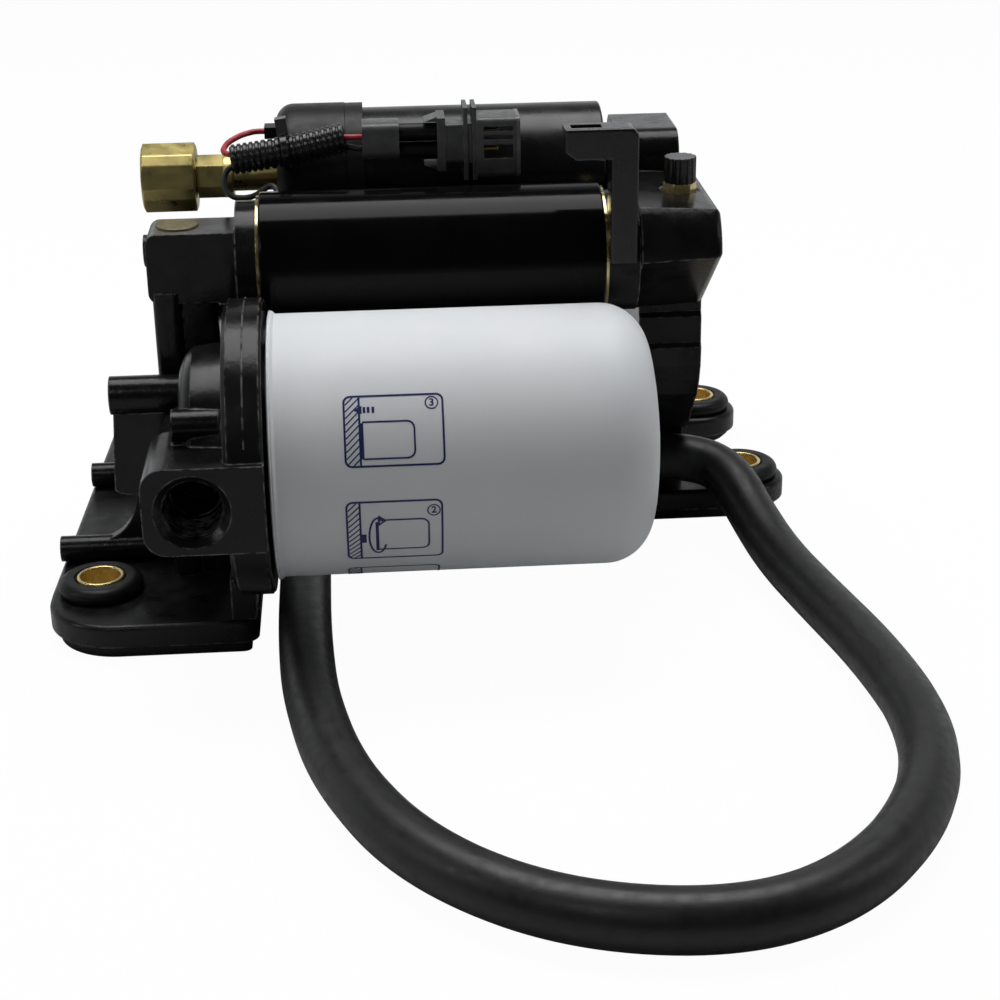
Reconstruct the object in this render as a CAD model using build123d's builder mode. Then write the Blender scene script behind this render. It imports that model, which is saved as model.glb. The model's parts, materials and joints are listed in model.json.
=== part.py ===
from build123d import *
import math
import os

# Boat-engine fuel pump module: two electric pumps in cans lie side by side between two castings on
# a base with rubber mounts. A spin-on filter hangs in front, and a cooling hose loops round the front.
# X runs to the right along the cans, Y to the back, Z up from the surface the unit stands on.
# All lengths are millimetres. The origin is the middle of the base, on that surface.

os.makedirs("parts", exist_ok=True)

# Clearances shared by every fit
fit = 0.05            # between round pieces that slide or turn in each other
seat = 0.3            # between rough castings, rubber and cans

# Base
half_length = 148.5   # from the middle to the outer edge of the front mounts' ears
half_depth = 134.5    # from the middle to the rear edge
ear_r = 18.5
rear_step = 6.0       # the rear mounts stand this much further in than the front ones
front_x = half_length - ear_r
rear_x = front_x - rear_step
rear_y = half_depth - ear_r
right_front_y = 32.5
left_front_y = -58.8
plate_t = 8.5
skirt_h = 5.0
skirt_in = 3.0
skirt_wall = 5.0
base_top = skirt_h + plate_t
leg_front = -92.0
leg_right = -70.0
leg_corner_r = 27.0
waist_x = front_x - 22.0
mounts_xy = [
    (-front_x, left_front_y),
    (front_x, right_front_y),
    (-rear_x, rear_y),
    (rear_x, rear_y),
]
mount_names = ["front_left", "front_right", "rear_left", "rear_right"]

# Rubber mounts and their sleeves
sleeve_r = 8.8
sleeve_wall = 1.3
neck_r = 11.5
lip_r = 16.0
lip_h = 5.8           # height of the upper lip over the plate
lip_low = 4.6         # depth of the lower lip under the plate

# Filter
filter_y = -80.5
filter_z = 77.5
filter_r = 47.0
filter_left = -61.0
filter_right = 76.5
seam_r = 48.0
seam_t = 2.4
dome_corner_r = 17.0
nipple_r = 9.5
nipple_bore_r = 6.5
nipple_seat = 14.0    # depth of the nipple in the flange
nipple_reach = 16.0   # and how far it stands out of it
gasket_r = 34.0       # middle radius of the rubber ring
gasket_w = 5.0
gasket_t = 6.0

# Pump cans
front_y = -29.5
front_z = 131.3
front_r = 25.4
front_left = -63.9
front_right = 61.8
back_y = 29.5
back_z = 149.5
back_r = 25.0
back_left = -50.0
back_right = 68.5
can_wall = 1.2
collar_r = 22.5
ring_t = 1.0
ring_r = 24.0

# Left housing
flange_r = 53.0
flange_left = -75.8
flange_right = -62.2
port_front = -half_depth
port_left = -103.7
port_bottom = 59.6
port_top = 91.0
port_depth = 36.0
port_x = -86.7
port_z = 75.3
port_r = 10.5
port_bore_r = 8.6
port_length = 16.0
port_mouth = 2.6      # width and depth of the mouth's cone
wall_left = -103.3
column_right = -93.0    # the front of the upright column reaches this far right
wall_t = 12.0
block_top = 147.5
block_left_end = -104.5
block_right_end = -72.5
block_bottom = 121.8
block_front = -49.0
block_back = -26.5

# Right housing
right_end = half_length - 44.0
block_left = 74.5
draft = 3.0                  # slope of the front block's sides, degrees
web_t = 24.5
front_block_top = 151.6      # at its left face; the service valve stands in a spot face on it
back_block_top = 166.0
back_block_right = right_end - 6.9
back_block_mid = 32.0        # its middle in Y
back_collar_r = 16.5

# Brass outlet
tube_r = 6.0
neck_flats = 14.5
nut_flats = 25.2
nut_corners = 26.6    # across the nut's turned corners
hex_turn = 17.2       # how far the two brass hexagons are turned, degrees
nut_left = -111.2
nut_right = -90.4
thread_r = 9.6
thread_l = 11.0       # length of the nut's thread, up to the room for the tube's nose

# Service valve
valve_x = right_end - 11.0
valve_y = -18.5
valve_foot = front_block_top - 1.7
stem_r = 3.8
stem_top = valve_foot + 11.4
cap_r = 6.0
cap_top = valve_foot + 13.5
pin_r = 1.2
pin_travel = 1.2

# Cooling hose
hose_r = 9.75
hose_bore_r = 6.35
stub_wall = 1.2
hose_lie = 10.0       # height of the hose's middle where it lies on the surface
stub_left_x = -53.5
stub_left_y = -8.0    # front face of the boss that carries the left stub
stub_left_z = 11.3
stub_right_x = 46.0   # right face of the tower that carries the right stub
stub_right_y = 19.0
stub_right_z = 28.5
stub_in = 14.0        # how far each stub reaches into the hose
stub_seat = 12.0      # how far each stub reaches into the base
clamp_w = 8.0
clamp_t = 0.9
gallery_y = 27.0
gallery_r = 8.0

# Wiring
conduit_r = 5.75
conduit_wall = 0.9
wire_r = 1.1
plug_y = -3.0         # middle line of the connector
plug_z = 168.4
cover_left = -25.1
cover_lift = 1.4      # the cover's middle lies this much higher
seals_left = -11.3
wire_gap = 2.2        # each wire enters the connector this far over or under its middle

# Inside the pumps
shaft_r = 3.0
bearing_fit = 0.04
inlet_pipe_r = 5.0
outlet_pipe_r = 4.5
pipe_wall = 1.0
pipe_out = 8.0        # how far the pipes stand out of the can's ends
lip_in = 2.5          # the can's rolled ends reach this far inwards
head_l = 14.0
impeller_r = 14.0
magnet_in = 16.5
rotor_r = 15.8
cap_l = 22.0

# Screws that hold the housings down from under the base
screw_r = 3.0
screw_head_r = 5.0
screw_head_h = 3.5
screw_top = 27.0
screws_xy = [(-92.0, -35.0), (-96.5, 40.0), (right_end - 12.5, 38.0), (right_end - 12.5, 63.0)]


def across(x, y=0.0, z=0.0):
    """Plane square to X that faces right: its own x runs to the back and its own y runs up."""
    return Plane(origin=(x, y, z), x_dir=(0, 1, 0), z_dir=(1, 0, 0))


def facing(y, x=0.0, z=0.0):
    """Plane square to Y that faces the front: its own x runs right and its own y runs up."""
    return Plane(origin=(x, y, z), x_dir=(1, 0, 0), z_dir=(0, -1, 0))


def axis_x(y, z):
    """The line along X through one height and depth."""
    return Axis((0, y, z), (1, 0, 0))


def save(part, name):
    """Label a finished piece and write its file."""
    part.label = name
    export_step(part, f"parts/{name}.step")


# Base: plate with ears, skirt and ribs under it, cast water gallery on top
with BuildSketch() as base_outline:
    with BuildLine():
        Polyline(
            (-half_length, leg_front),
            (leg_right, leg_front),
            (leg_right, right_front_y - ear_r),
            (front_x, right_front_y - ear_r),
            (front_x, right_front_y + ear_r),
            (waist_x, right_front_y + ear_r),
            (waist_x, rear_y - ear_r),
            (rear_x, rear_y - ear_r),
            (rear_x, half_depth),
            (-rear_x, half_depth),
            (-rear_x - ear_r, rear_y),
            (-half_length, left_front_y),
            close=True,
        )
    make_face()
    with Locations(mounts_xy[1:]):
        Circle(ear_r)
    corners = base_outline.vertices()
    fillet(corners.sort_by_distance((-half_length, leg_front))[0], leg_corner_r)
    corners = base_outline.vertices()
    fillet(
        [
            corners.sort_by_distance((leg_right, leg_front))[0],
            corners.sort_by_distance((leg_right, right_front_y - ear_r))[0],
            corners.sort_by_distance((waist_x, right_front_y + ear_r))[0],
            corners.sort_by_distance((waist_x, rear_y - ear_r))[0],
        ],
        6.0,
    )

rib_t = 4.0
rib_ys = [55.0, 95.0]
rib_xs = [-104.0, -20.0, 50.0]
tower_l = 26.0
tower_w = 22.0
tower_top = 41.0
boss_w = 24.0
boss_foot = 0.5

with BuildPart() as base_plate:
    with BuildSketch(Plane.XY.offset(skirt_h)):
        add(base_outline.sketch)
    extrude(amount=plate_t)
    fillet(base_plate.faces().sort_by(Axis.Z)[-1].outer_wire().edges(), 2.0)
    with BuildSketch():
        offset(base_outline.sketch, amount=-skirt_in)
    extrude(amount=skirt_h)
    with BuildSketch():
        offset(base_outline.sketch, amount=-skirt_in - skirt_wall)
        with Locations([(0, y) for y in rib_ys]):
            Rectangle(2 * half_length, rib_t, mode=Mode.SUBTRACT)
        with Locations([(x, 0) for x in rib_xs]):
            Rectangle(rib_t, 2 * half_depth, mode=Mode.SUBTRACT)
    extrude(amount=skirt_h, mode=Mode.SUBTRACT)
    with BuildSketch():
        with Locations(mounts_xy):
            Circle(lip_r + 1.2)
    extrude(amount=skirt_h, mode=Mode.SUBTRACT)
    with BuildSketch():
        with Locations(mounts_xy):
            Circle(neck_r)
    extrude(amount=base_top, mode=Mode.SUBTRACT)
    # water gallery: half-round rib between the boss at the left and the tower at the right
    with BuildSketch(across(stub_left_x, gallery_y, base_top)):
        Circle(gallery_r)
    extrude(amount=stub_right_x - tower_l / 2 - stub_left_x)
    with BuildSketch(facing(gallery_y, stub_left_x, stub_left_z)):
        RectangleRounded(boss_w, 2 * (stub_left_z - boss_foot), 6.0)
    extrude(amount=gallery_y - stub_left_y)
    with BuildSketch(Plane.XY.offset(base_top - 1.0)):
        with Locations((stub_right_x - tower_l / 2, stub_right_y + 2.0)):
            RectangleRounded(tower_l, tower_w, 6.0)
    extrude(amount=tower_top - base_top + 1.0)
    fillet(base_plate.faces().sort_by(Axis.Z)[-1].edges(), 2.0)
    # stub seats
    with BuildSketch(facing(stub_left_y, stub_left_x, stub_left_z)):
        Circle(hose_bore_r)
    extrude(amount=-stub_seat, mode=Mode.SUBTRACT)
    with BuildSketch(across(stub_right_x, stub_right_y, stub_right_z)):
        Circle(hose_bore_r)
    extrude(amount=-stub_seat, mode=Mode.SUBTRACT)
    with BuildSketch(Plane.XY.offset(base_top)):
        with Locations(screws_xy):
            Circle(screw_r + fit)
    extrude(amount=-plate_t, mode=Mode.SUBTRACT)
save(base_plate.part, "base_plate")

# Rubber mounts and brass sleeves, one of each at every corner
sleeve_foot = skirt_h - lip_low
sleeve_top = base_top + lip_h + 0.3
for name, (x, y) in zip(mount_names, mounts_xy):
    with BuildPart() as grommet:
        with BuildSketch(facing(y, x)):
            with BuildLine():
                Polyline(
                    (sleeve_r + fit, sleeve_foot),
                    (lip_r - 2.0, sleeve_foot),
                    (lip_r, sleeve_foot + 2.0),
                    (lip_r, skirt_h - fit),
                    (neck_r - fit, skirt_h - fit),
                    (neck_r - fit, base_top + fit),
                    (lip_r - 1.0, base_top + fit),
                )
                ThreePointArc(
                    (lip_r - 1.0, base_top + fit),
                    (lip_r - 0.6, base_top + lip_h * 0.7),
                    (lip_r - 4.0, base_top + lip_h),
                )
                Polyline(
                    (lip_r - 4.0, base_top + lip_h),
                    (sleeve_r + 1.2, base_top + lip_h),
                    (sleeve_r + fit, base_top + lip_h - 1.2),
                    (sleeve_r + fit, sleeve_foot),
                )
            make_face()
        revolve(axis=Axis((x, y, 0), (0, 0, 1)))
    save(grommet.part, f"grommet_{name}")
    with BuildPart() as sleeve:
        with BuildSketch(Plane.XY.offset(sleeve_foot)):
            with Locations((x, y)):
                Circle(sleeve_r)
                Circle(sleeve_r - sleeve_wall, mode=Mode.SUBTRACT)
        extrude(amount=sleeve_top - sleeve_foot)
        chamfer(sleeve.edges().filter_by(GeomType.CIRCLE), 0.35)
    save(sleeve.part, f"sleeve_{name}")

# Left housing: filter flange, inlet port, lugs, the front can's collar and the back can's saddle
lug_r = 7.0
boss_r = 5.0
boss_z = base_top + boss_r
gusset_t = 5.0
saddle_left = -92.0
saddle_right = -36.0
boot_r = 27.2
boot_left = -58.3
tab_left = boot_left - 4.2
boot_right = -31.5

with BuildPart() as left_housing:
    # filter flange with its hub behind
    with BuildSketch(facing(filter_y, 0, filter_z)):
        with BuildLine():
            Polyline(
                (flange_right, 0),
                (flange_right, flange_r - 1.0),
                (flange_right - 1.0, flange_r),
                (flange_left + 1.5, flange_r),
                (flange_left, flange_r - 1.5),
                (flange_left, 38.0),
                (-87.5, 36.5),
            )
            ThreePointArc((-87.5, 36.5), (-91.2, 32.5), (-92.5, 27.0))
            Polyline((-92.5, 27.0), (-93.5, 20.0), (-93.5, 0), (flange_right, 0))
        make_face()
    revolve(axis=axis_x(filter_y, filter_z))
    # inlet port block and the round passage behind it
    with BuildSketch(facing(port_front + port_depth)) as port_face:
        with Locations(((port_left + flange_right) / 2, (port_bottom + port_top) / 2)):
            Rectangle(flange_right - port_left, port_top - port_bottom)
        fillet(port_face.vertices().group_by(Axis.X)[0], 8.0)
    extrude(amount=port_depth)
    with BuildSketch(facing(filter_y + 10.0, port_x, port_z)):
        Circle(17.0)
    extrude(amount=filter_y + 10.0 - port_front - port_depth)
    # upright column, side wall and the block under the front can's collar
    with BuildSketch(Plane.XY.offset(base_top)):
        with Locations(((wall_left + column_right) / 2, -35.0)):
            RectangleRounded(column_right - wall_left, 30.0, 3.0)
        with Locations(((wall_left - 80.0) / 2, -33.5)):
            RectangleRounded(-80.0 - wall_left, 27.0, 3.0)
    extrude(amount=block_bottom + 4.0 - base_top)
    with BuildSketch(across(wall_left)):
        with BuildLine():
            Polyline(
                (-40.0, base_top),
                (62.0, base_top),
                (52.0, 60.0),
                (50.0, 122.0),
                (-40.0, 126.0),
                close=True,
            )
        make_face()
    extrude(amount=wall_t)
    with BuildSketch(facing(block_back, 0, 0)) as block_face:
        with Locations(((block_left_end + block_right_end) / 2, (block_bottom + block_top) / 2)):
            Rectangle(block_right_end - block_left_end, block_top - block_bottom)
        fillet(block_face.vertices().group_by(Axis.X)[0], 4.0)
    extrude(amount=block_back - block_front)
    with BuildSketch(across(-90.0, front_y, front_z)):
        Circle(collar_r - 7.0)
    extrude(amount=20.0)
    with BuildSketch(across(block_right_end, front_y, front_z)):
        Circle(collar_r)
    extrude(amount=front_left - ring_t - block_right_end)
    with BuildSketch(across(block_left_end - 1.3, -38.0, 139.0)):
        Circle(5.8)
    extrude(amount=2.0)
    # saddle that carries the back can's boot
    with BuildSketch(across(saddle_left, back_y)):
        with Locations((0, 112.0)):
            Rectangle(44.0, 30.0)
        with Locations((0, back_z)):
            Circle(boot_r + seat, mode=Mode.SUBTRACT)
    extrude(amount=saddle_right - saddle_left)
    # lug with a web at the far left, and a lug on the port block
    with BuildSketch(across(-119.9, filter_y + 20.0, 91.6)):
        Circle(lug_r)
    extrude(amount=40.0)
    with BuildSketch(facing(filter_y + 23.5)):
        with BuildLine():
            Polyline((-118.9, 88.0), (-120.9, 56.0), (-119.5, 54.6), (-96.0, 50.0), (-88.0, 90.0), close=True)
        make_face()
    extrude(amount=7.0)
    with BuildSketch(across(-93.7, -108.0, 96.4)):
        Circle(lug_r - 1.1)
    extrude(amount=16.2)
    with BuildSketch(facing(-104.0)):
        with BuildLine():
            Polyline((-93.7, 88.0), (-93.7, 96.4), (-77.5, 96.4), (-77.5, 88.0), close=True)
        make_face()
    extrude(amount=8.0)
    # two round feet with curved gussets on the base, out to its left edge
    for foot_y, foot_left in ((-30.5, 0.5 - half_length), (46.0, 3.9 - half_length)):
        with BuildSketch(across(foot_left, foot_y, boss_z)):
            Circle(boss_r)
        extrude(amount=wall_left - foot_left + 2.0)
        with BuildSketch(facing(foot_y + gusset_t / 2)):
            with BuildLine():
                Polyline(
                    (foot_left + 12.0, boss_z + 3.0),
                    (foot_left + 12.0, boss_z),
                    (-103.0, boss_z),
                    (-103.0, 52.0),
                    (-116.5, 52.0),
                    (-117.5, 38.0),
                )
                ThreePointArc((-117.5, 38.0), (-121.5, 28.5), (foot_left + 12.0, boss_z + 3.0))
            make_face()
        extrude(amount=gusset_t)
    # lug between the flange and the front foot of the base
    with BuildSketch(Plane.XY.offset(base_top)):
        with Locations((-75.0, -84.0)):
            Rectangle(8.6, 12.0)
    extrude(amount=16.0)
    # inlet bore: mouth, thread and the passage to the flange's ring channel
    with BuildSketch(facing(port_front, port_x, port_z)):
        Circle(port_r)
    extrude(amount=-port_length - port_mouth, mode=Mode.SUBTRACT)
    mouth = left_housing.edges().filter_by(GeomType.CIRCLE)
    chamfer(mouth.sort_by_distance((port_x, port_front, port_z))[0], port_mouth)
    with BuildSketch(facing(port_front, port_x, port_z)):
        Circle(port_bore_r)
    extrude(amount=-34.0, mode=Mode.SUBTRACT)
    # ring channel under the filter and the nipple's bore
    with BuildSketch(across(flange_right, filter_y, filter_z)):
        Circle(27.0)
        Circle(15.0, mode=Mode.SUBTRACT)
    extrude(amount=-8.0, mode=Mode.SUBTRACT)
    with BuildSketch(across(flange_right, filter_y, filter_z)):
        Circle(nipple_r + fit)
    extrude(amount=-nipple_seat, mode=Mode.SUBTRACT)
    with BuildSketch(across(flange_right, filter_y, filter_z)):
        Circle(nipple_bore_r)
    extrude(amount=-nipple_seat - 8.0, mode=Mode.SUBTRACT)
    # socket for the front pump's inlet pipe, and room for the can beside the flange
    with BuildSketch(across(front_left - ring_t, front_y, front_z)):
        Circle(inlet_pipe_r + fit)
    extrude(amount=-2 * pipe_out, mode=Mode.SUBTRACT)
    with BuildSketch(across(front_left - ring_t, front_y, front_z)):
        Circle(front_r + seat)
    extrude(amount=front_r, mode=Mode.SUBTRACT)
    with BuildSketch(Plane.XY.offset(base_top)):
        with Locations(screws_xy):
            Circle(screw_r)
    extrude(amount=screw_top - base_top, mode=Mode.SUBTRACT)
    # seat of the plug on top
    with BuildSketch(Plane.XY.offset(block_top)):
        with Locations((-93.5, -36.0)):
            Circle(7.8)
    extrude(amount=-3.0, mode=Mode.SUBTRACT)
save(left_housing.part, "left_housing")

with BuildPart() as housing_plug:
    with BuildSketch(Plane.XY.offset(block_top - 3.0)):
        with Locations((-93.5, -36.0)):
            Circle(7.8 - fit)
    extrude(amount=3.6)
    fillet(housing_plug.edges().sort_by(Axis.Z)[-1], 0.5)
save(housing_plug.part, "housing_plug")

# Right housing: one block for the ends of both cans, on a ribbed web with a foot
with BuildPart() as right_housing:
    with BuildSketch(across(block_left)):
        with BuildLine():
            Polyline((14.0, front_block_top), (-46.5, front_block_top))
            ThreePointArc((-46.5, front_block_top), (-54.0, 142.3), (-56.2, 133.2))
            Polyline((-56.2, 133.2), (-14.2, 103.2), (14.0, 103.2), (14.0, front_block_top))
        make_face()
    extrude(amount=right_end - block_left, taper=draft)
    fillet(right_housing.faces().sort_by(Axis.X)[-1].outer_wire().edges(), 3.0)
    # block for the back can's end
    with BuildSketch(across(block_left, back_block_mid, 141.0)):
        RectangleRounded(44.0, 2 * (back_block_top - 141.0), 9.0)
    extrude(amount=back_block_right - block_left)
    # web from both blocks down to the base, with small steps in its front
    with BuildSketch(across(right_end - web_t)):
        with BuildLine():
            Polyline(
                (-9.2, 118.0),
                (-9.2, 99.8),
                (-10.6, 97.8),
                (-10.8, 87.5),
                (-12.2, 85.5),
                (-11.8, 78.0),
                (-9.5, 71.0),
                (-5.5, 64.0),
                (0.0, 58.8),
                (7.0, 51.5),
                (12.0, 45.5),
                (16.5, 41.5),
                (29.0, 39.0),
                (29.0, base_top),
                (66.0, base_top),
                (56.0, 60.0),
                (52.5, 122.0),
                close=True,
            )
        make_face()
    extrude(amount=web_t)
    # foot on the base
    with BuildSketch(Plane.XY.offset(base_top)):
        with Locations((right_end - 18.0, 49.0)):
            RectangleRounded(36.0, 38.0, 4.0)
    extrude(amount=7.0)
    # collar for the front can and seats for the back can and the outlet pipes
    with BuildSketch(across(front_right + ring_t, front_y, front_z)):
        Circle(collar_r)
    extrude(amount=block_left - front_right - ring_t)
    with BuildSketch(across(block_left, back_y, back_z)):
        Circle(back_collar_r)
    extrude(amount=back_right - block_left)
    with BuildSketch(across(front_right + ring_t, front_y, front_z)):
        Circle(outlet_pipe_r + fit)
    extrude(amount=2 * pipe_out, mode=Mode.SUBTRACT)
    with BuildSketch(across(back_right, back_y, back_z)):
        Circle(inlet_pipe_r + fit)
    extrude(amount=2 * pipe_out, mode=Mode.SUBTRACT)
    with BuildSketch(Plane.XY.offset(base_top)):
        with Locations(screws_xy):
            Circle(screw_r)
    extrude(amount=screw_top - base_top, mode=Mode.SUBTRACT)
    # spot face of the service valve
    with BuildSketch(Plane.XY.offset(valve_foot)):
        with Locations((valve_x, valve_y)):
            Circle(7.5)
    extrude(amount=10.0, mode=Mode.SUBTRACT)
    with BuildSketch(Plane.XY.offset(valve_foot)):
        with Locations((valve_x, valve_y)):
            Circle(4.6)
    extrude(amount=-9.0, mode=Mode.SUBTRACT)
save(right_housing.part, "right_housing")

# Screws from below, one under each corner of the two housings
with BuildPart() as housing_screws:
    with BuildSketch(Plane.XY.offset(skirt_h)):
        with Locations(screws_xy):
            Circle(screw_r)
    extrude(amount=screw_top - skirt_h)
    with BuildSketch(Plane.XY.offset(skirt_h)):
        with Locations(screws_xy):
            Circle(screw_head_r)
    extrude(amount=-screw_head_h)
    with BuildSketch(Plane.XY.offset(skirt_h - screw_head_h)):
        with Locations(screws_xy):
            RegularPolygon(2.5, 6)
    extrude(amount=2.2, mode=Mode.SUBTRACT)
save(housing_screws.part, "housing_screws")

# Filter: steel can with a rolled seam, a rounded and slightly crowned end, and a rubber ring
crown = 11.0                                  # slope of the crowned end where the corner starts, degrees
crown_sin = math.sin(math.radians(crown))
crown_cos = math.cos(math.radians(crown))
knee_r = filter_r - dome_corner_r * (1 - crown_sin)
corner_x = filter_right - knee_r * math.tan(math.radians(crown / 2)) - dome_corner_r * crown_cos
groove_right = flange_right + gasket_t
hole_end = flange_right + nipple_reach + 2.0

with BuildPart() as filter_can:
    with BuildSketch(facing(filter_y, 0, filter_z)):
        with BuildLine():
            Polyline(
                (corner_x, filter_r),
                (filter_left + seam_t, filter_r),
                (filter_left + seam_t - 1.0, seam_r),
                (filter_left + 1.0, seam_r),
                (filter_left, seam_r - 1.0),
                (filter_left, gasket_r + gasket_w / 2 + fit),
                (groove_right, gasket_r + gasket_w / 2 + fit),
                (groove_right, gasket_r - gasket_w / 2 - fit),
                (filter_left, gasket_r - gasket_w / 2 - fit),
                (filter_left, nipple_r + fit),
                (hole_end, nipple_r + fit),
                (hole_end, 0),
                (filter_right, 0),
            )
            CenterArc((corner_x, filter_r - dome_corner_r), dome_corner_r, crown, 90.0 - crown)
            TangentArc(
                (corner_x + dome_corner_r * crown_cos, knee_r),
                (filter_right, 0),
                tangent=(crown_sin, -crown_cos),
            )
        make_face()
    revolve(axis=axis_x(filter_y, filter_z))
save(filter_can.part, "filter_can")

with BuildPart() as filter_gasket:
    with BuildSketch(across(flange_right, filter_y, filter_z)):
        Circle(gasket_r + gasket_w / 2)
        Circle(gasket_r - gasket_w / 2, mode=Mode.SUBTRACT)
    extrude(amount=gasket_t)
save(filter_gasket.part, "filter_gasket")

with BuildPart() as filter_nipple:
    with BuildSketch(across(flange_right - nipple_seat, filter_y, filter_z)):
        Circle(nipple_r)
        Circle(nipple_bore_r, mode=Mode.SUBTRACT)
    extrude(amount=nipple_seat + nipple_reach)
    chamfer(filter_nipple.faces().sort_by(Axis.X)[-1].outer_wire().edges(), 1.0)
save(filter_nipple.part, "filter_nipple")

# Gold sealing rings at both ends of the front can
for name, ring_x in (("left", front_left - ring_t), ("right", front_right)):
    with BuildPart() as front_ring:
        with BuildSketch(across(ring_x, front_y, front_z)):
            Circle(ring_r)
            Circle(ring_r - 6.0, mode=Mode.SUBTRACT)
        extrude(amount=ring_t)
    save(front_ring.part, f"front_ring_{name}")

# The two pumps. Each is measured from its inlet end: the front one's is at the left, the back one's
# at the right, so "way" is the direction in X that leads from the inlet to the outlet.
pumps = [
    ("front", front_y, front_z, front_r, front_left, 1, front_right - front_left),
    ("back", back_y, back_z, back_r, back_right, -1, back_right - back_left),
]
for name, y, z, can_r, start, way, length in pumps:
    inner_r = can_r - can_wall
    end_t = can_wall
    with BuildPart() as can:
        with BuildSketch(across(start, y, z)):
            Circle(can_r)
            Circle(inner_r, mode=Mode.SUBTRACT)
        extrude(amount=way * length)
        for lip_x in (start, start + way * (length - end_t)):
            with BuildSketch(across(lip_x, y, z)):
                Circle(can_r - 0.2)
                Circle(inner_r - lip_in, mode=Mode.SUBTRACT)
            extrude(amount=way * end_t)
        fillet(can.edges().filter_by(GeomType.CIRCLE).sort_by(SortBy.RADIUS)[-2:], 1.0)
    save(can.part, f"{name}_can")

    # inlet end: pipe, ports round a blind bearing, and the chamber of the impeller
    with BuildPart() as head:
        with BuildSketch(across(start + way * end_t, y, z)):
            Circle(inner_r - fit)
        extrude(amount=way * head_l)
        with BuildSketch(across(start - way * pipe_out, y, z)):
            Circle(inlet_pipe_r)
        extrude(amount=way * (pipe_out + end_t))
        with BuildSketch(across(start - way * pipe_out, y, z)):
            Circle(inlet_pipe_r - pipe_wall)
        extrude(amount=way * (pipe_out + end_t + 1.4), mode=Mode.SUBTRACT)
        with BuildSketch(across(start + way * (end_t + 0.6), y, z)):
            with PolarLocations(5.3, 3):
                Circle(1.7)
        extrude(amount=way * 6.0, mode=Mode.SUBTRACT)
        with BuildSketch(across(start + way * (end_t + head_l), y, z)):
            Circle(impeller_r + 1.0)
        extrude(amount=-way * (head_l - 6.0), mode=Mode.SUBTRACT)
        with BuildSketch(across(start + way * (end_t + 2.6), y, z)):
            Circle(shaft_r + bearing_fit)
        extrude(amount=way * 4.0, mode=Mode.SUBTRACT)
    save(head.part, f"{name}_pump_head")

    with BuildPart() as impeller:
        with BuildSketch(across(start + way * (end_t + 6.5), y, z)):
            Circle(impeller_r)
            with PolarLocations(impeller_r, 16):
                Rectangle(5.0, 1.6, mode=Mode.SUBTRACT)
            Circle(shaft_r, mode=Mode.SUBTRACT)
        extrude(amount=way * 5.0)
    save(impeller.part, f"{name}_impeller")

    with BuildPart() as shaft:
        with BuildSketch(across(start + way * (end_t + 3.0), y, z)):
            Circle(shaft_r)
        extrude(amount=way * (length - end_t - 3.0 - 5.0))
    save(shaft.part, f"{name}_shaft")

    with BuildPart() as rotor:
        with BuildSketch(across(start + way * 34.0, y, z)):
            Circle(rotor_r)
            with PolarLocations(rotor_r, 8):
                Rectangle(12.0, 2.4, mode=Mode.SUBTRACT)
            Circle(shaft_r, mode=Mode.SUBTRACT)
        extrude(amount=way * 40.0)
    save(rotor.part, f"{name}_rotor")

    with BuildPart() as commutator:
        with BuildSketch(across(start + way * (length - 21.0), y, z)):
            Circle(8.0)
            Circle(shaft_r, mode=Mode.SUBTRACT)
        extrude(amount=way * 11.0)
    save(commutator.part, f"{name}_commutator")

    with BuildPart() as magnets:
        with BuildSketch(across(start + way * 31.0, y, z)):
            Circle(inner_r - fit)
            Circle(magnet_in, mode=Mode.SUBTRACT)
            Rectangle(16.0, 2 * can_r, mode=Mode.SUBTRACT)
        extrude(amount=way * 46.0)
    save(magnets.part, f"{name}_magnets")

    # outlet end: cap with the second bearing, the brush chamber and the outlet pipe
    with BuildPart() as brush_cap:
        with BuildSketch(across(start + way * (length - end_t), y, z)):
            Circle(inner_r - fit)
        extrude(amount=-way * cap_l)
        with BuildSketch(across(start + way * (length - end_t - cap_l), y, z)):
            Circle(rotor_r)
        extrude(amount=way * (cap_l - 7.0), mode=Mode.SUBTRACT)
        with BuildSketch(across(start + way * (length + pipe_out), y, z)):
            Circle(outlet_pipe_r)
        extrude(amount=-way * (pipe_out + end_t))
        with BuildSketch(across(start + way * (length + pipe_out), y, z)):
            Circle(outlet_pipe_r - pipe_wall)
        extrude(amount=-way * (pipe_out + end_t + 1.4), mode=Mode.SUBTRACT)
        with BuildSketch(across(start + way * (length - end_t - 0.6), y, z)):
            with PolarLocations(5.4, 3):
                Circle(2.0)
        extrude(amount=-way * 7.0, mode=Mode.SUBTRACT)
        with BuildSketch(across(start + way * (length - end_t - 3.5), y, z)):
            Circle(shaft_r + bearing_fit)
        extrude(amount=-way * 4.0, mode=Mode.SUBTRACT)
    save(brush_cap.part, f"{name}_brush_cap")

    with BuildPart() as brushes:
        with BuildSketch(across(start + way * (length - 19.0), y, z)):
            with Locations((11.7, 0), (-11.7, 0)):
                Rectangle(7.2, 5.0)
        extrude(amount=way * 7.0)
    save(brushes.part, f"{name}_brushes")

# Rubber boot over the back can's outlet end, with a wire entry, and the band that grips it
with BuildPart() as pump_boot:
    with BuildSketch(across(boot_left, back_y, back_z)):
        Circle(boot_r)
    extrude(amount=boot_right - boot_left)
    fillet(pump_boot.faces().sort_by(Axis.X)[0].edges(), 7.0)
    with BuildSketch(across(tab_left, 20.0, 168.8)):
        Rectangle(8.0, 4.4)
    extrude(amount=12.0)
    with BuildSketch(across(back_left, back_y, back_z)):
        Circle(back_r + fit)
    extrude(amount=boot_right - back_left, mode=Mode.SUBTRACT)
    with BuildSketch(across(boot_left, back_y, back_z)):
        Circle(tube_r + fit)
    extrude(amount=back_left - boot_left, mode=Mode.SUBTRACT)
save(pump_boot.part, "pump_boot")

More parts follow.
